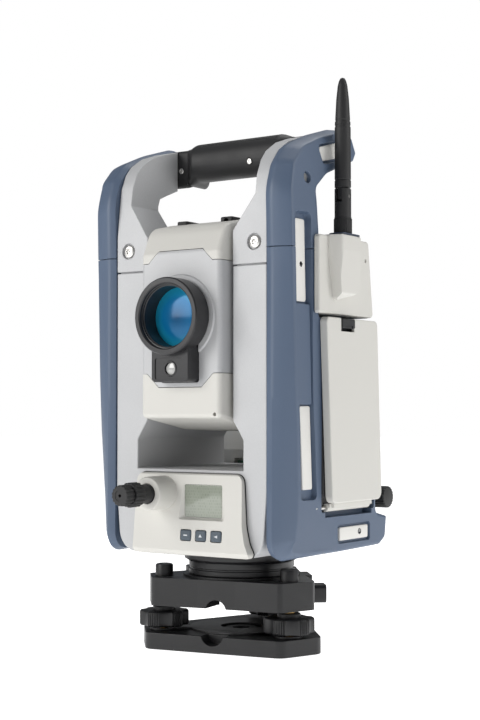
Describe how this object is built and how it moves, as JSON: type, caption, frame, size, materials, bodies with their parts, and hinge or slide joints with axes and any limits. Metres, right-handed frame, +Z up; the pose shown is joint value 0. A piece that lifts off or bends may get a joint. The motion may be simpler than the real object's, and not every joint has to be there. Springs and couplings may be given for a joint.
{
  "type": "surveying total station",
  "caption": "Robotic surveying total station: tilting telescope in a turning yoke with carrying handle, antenna and battery door, on a tribrach with levelling screws.",
  "frame": {"origin": "centre of the base plate's threaded hole, at the underside of the tribrach, on the vertical axis", "axes": "+Z up along the vertical axis; the objective looks along -Y; +X is the battery and antenna side, parallel to the tilting axis"},
  "size_m": [0.202, 0.2212, 0.4244],
  "materials": {
    "black_metal": "satin",
    "spring_steel": "satin",
    "vial_glass": "clear",
    "steel": "satin",
    "glass_circle": "clear",
    "silver_paint": "metallic satin",
    "black_plastic": "matte",
    "blue_plastic": "satin",
    "inlay_plastic": "matte",
    "grey_plastic": "matte",
    "socket_plate": "matte",
    "dark_plastic": "matte",
    "window_glass": "clear",
    "display": "gloss",
    "key_plastic": "matte",
    "screen_glass": "gloss",
    "copper": "satin",
    "board": "satin",
    "coated_glass": "coated",
    "tracker_glass": "gloss"
  },
  "bodies": {
    "tribrach": {"base_plate": "black_metal", "spring_plate": "spring_steel", "tribrach_body": "black_metal", "screw_caps": "black_metal", "level_housing": "black_metal", "level_vial": "vial_glass", "base_flange": "black_metal", "vertical_shaft": "steel", "horizontal_circle": "glass_circle"},
    "screw_left": {"levelling_screw_left": "black_metal"},
    "screw_right": {"levelling_screw_right": "black_metal"},
    "screw_rear": {"levelling_screw_rear": "black_metal"},
    "lock": {"lock_knob": "black_metal"},
    "telescope": {"telescope_frame": "dark_plastic", "telescope_front": "silver_paint", "telescope_top_cover": "grey_plastic", "telescope_bottom_cover": "grey_plastic", "lens_hood": "black_plastic", "objective_lens": "coated_glass", "tracker_window": "tracker_glass", "sight_tubes": "black_plastic"},
    "eyepiece": {"eyepiece_ring": "black_plastic"},
    "front_key_left": {"key_left": "key_plastic"},
    "front_key_middle": {"key_middle": "key_plastic"},
    "front_key_right": {"key_right": "key_plastic"},
    "plummet_focus": {"plummet_focus_ring": "black_plastic"},
    "plummet_ocular": {"plummet_eyepiece": "black_plastic"},
    "door": {"battery_door": "grey_plastic"},
    "latch": {"battery_latch": "black_plastic"},
    "antenna_base": {"antenna_collar": "black_plastic"},
    "antenna": {"antenna_whip": "black_plastic"},
    "rear_power_key": {"power_key": "key_plastic"},
    "rear_menu_key": {"menu_key": "key_plastic"},
    "rear_enter_key": {"enter_key": "key_plastic"},
    "knob_horizontal": {"horizontal_knob": "black_plastic"},
    "knob_vertical": {"vertical_knob": "black_plastic"},
    "alidade": {"yoke_frame": "silver_paint", "upper_bracket_left": "silver_paint", "upper_bracket_right": "silver_paint", "handle_grip": "black_plastic", "casing_screws": "steel", "lower_cover_right": "blue_plastic", "upper_cover_right": "blue_plastic", "lower_cover_left": "blue_plastic", "upper_cover_left": "blue_plastic", "cover_inlays": "inlay_plastic", "radio_housing": "grey_plastic", "antenna_socket": "socket_plate", "door_hinge_pin": "steel", "battery_pack": "dark_plastic", "front_panel": "grey_plastic", "display_window": "window_glass", "display_module": "display", "plummet_barrel": "black_plastic", "service_housing": "grey_plastic", "control_panel": "grey_plastic", "control_screen": "screen_glass", "trunnion_bearings": "steel", "drive_motors": "copper", "main_board": "board"}
  },
  "joints": [
    {"name": "levelling_screw_left_turn", "type": "hinge", "parent": "tribrach", "child": "screw_left", "pos_m": [-0.04557, -0.03857, 0.021], "axis": [0, 0, 1], "range_deg": [-1080, 1080]},
    {"name": "levelling_screw_right_turn", "type": "hinge", "parent": "tribrach", "child": "screw_right", "pos_m": [0.05619, -0.02017, 0.021], "axis": [0, 0, 1], "range_deg": [-1080, 1080]},
    {"name": "levelling_screw_rear_turn", "type": "hinge", "parent": "tribrach", "child": "screw_rear", "pos_m": [-0.01062, 0.05875, 0.021], "axis": [0, 0, 1], "range_deg": [-1080, 1080]},
    {"name": "lock_turn", "type": "hinge", "parent": "tribrach", "child": "lock", "pos_m": [0.04076, 0.0345, 0.038], "axis": [0.7632, 0.6461, 0], "range_deg": [0, 180]},
    {"name": "alidade_turn", "type": "hinge", "parent": "tribrach", "child": "alidade", "pos_m": [0, 0, 0.1], "axis": [0, 0, 1], "continuous": true},
    {"name": "telescope_tilt", "type": "hinge", "parent": "alidade", "child": "telescope", "pos_m": [0, 0, 0.2474], "axis": [1, 0, 0], "continuous": true},
    {"name": "eyepiece_focus", "type": "hinge", "parent": "telescope", "child": "eyepiece", "pos_m": [0, 0.08, 0.2474], "axis": [0, 1, 0], "range_deg": [-150, 150]},
    {"name": "front_key_left_press", "type": "slide", "parent": "alidade", "child": "front_key_left", "axis": [0, 1, 0], "range_m": [0, 0.001], "stiffness_N_per_m": 600},
    {"name": "front_key_middle_press", "type": "slide", "parent": "alidade", "child": "front_key_middle", "axis": [0, 1, 0], "range_m": [0, 0.001], "stiffness_N_per_m": 600},
    {"name": "front_key_right_press", "type": "slide", "parent": "alidade", "child": "front_key_right", "axis": [0, 1, 0], "range_m": [0, 0.001], "stiffness_N_per_m": 600},
    {"name": "rear_power_key_press", "type": "slide", "parent": "alidade", "child": "rear_power_key", "axis": [0, -0.9972, -0.075], "range_m": [0, 0.001], "stiffness_N_per_m": 600},
    {"name": "rear_menu_key_press", "type": "slide", "parent": "alidade", "child": "rear_menu_key", "axis": [0, -0.9972, -0.075], "range_m": [0, 0.001], "stiffness_N_per_m": 600},
    {"name": "rear_enter_key_press", "type": "slide", "parent": "alidade", "child": "rear_enter_key", "axis": [0, -0.9972, -0.075], "range_m": [0, 0.001], "stiffness_N_per_m": 600},
    {"name": "plummet_focus_turn", "type": "hinge", "parent": "alidade", "child": "plummet_focus", "pos_m": [-0.02, -0.11, 0.1186], "axis": [0, 1, 0], "range_deg": [0, 330]},
    {"name": "plummet_ocular_turn", "type": "hinge", "parent": "alidade", "child": "plummet_ocular", "pos_m": [-0.02, -0.12, 0.1186], "axis": [0, 1, 0], "range_deg": [-120, 120]},
    {"name": "battery_door_swing", "type": "hinge", "parent": "alidade", "child": "door", "pos_m": [0.088, 0.009, 0.1086], "axis": [0, 1, 0], "range_deg": [0, 90]},
    {"name": "latch_slide", "type": "slide", "parent": "door", "child": "latch", "axis": [0, 0, -1], "range_m": [0, 0.002], "stiffness_N_per_m": 800},
    {"name": "antenna_swivel", "type": "hinge", "parent": "alidade", "child": "antenna_base", "pos_m": [0.0976, -0.011, 0.3086], "axis": [0, 0, 1], "range_deg": [-100, 10]},
    {"name": "antenna_fold", "type": "hinge", "parent": "antenna_base", "child": "antenna", "pos_m": [0.0976, -0.011, 0.336], "axis": [-1, 0, 0], "range_deg": [0, 90]},
    {"name": "horizontal_knob_turn", "type": "hinge", "parent": "alidade", "child": "knob_horizontal", "pos_m": [0.07, 0.078, 0.1115], "axis": [1, 0, 0], "continuous": true},
    {"name": "vertical_knob_turn", "type": "hinge", "parent": "alidade", "child": "knob_vertical", "pos_m": [-0.07, 0.078, 0.1115], "axis": [1, 0, 0], "continuous": true}
  ]
}
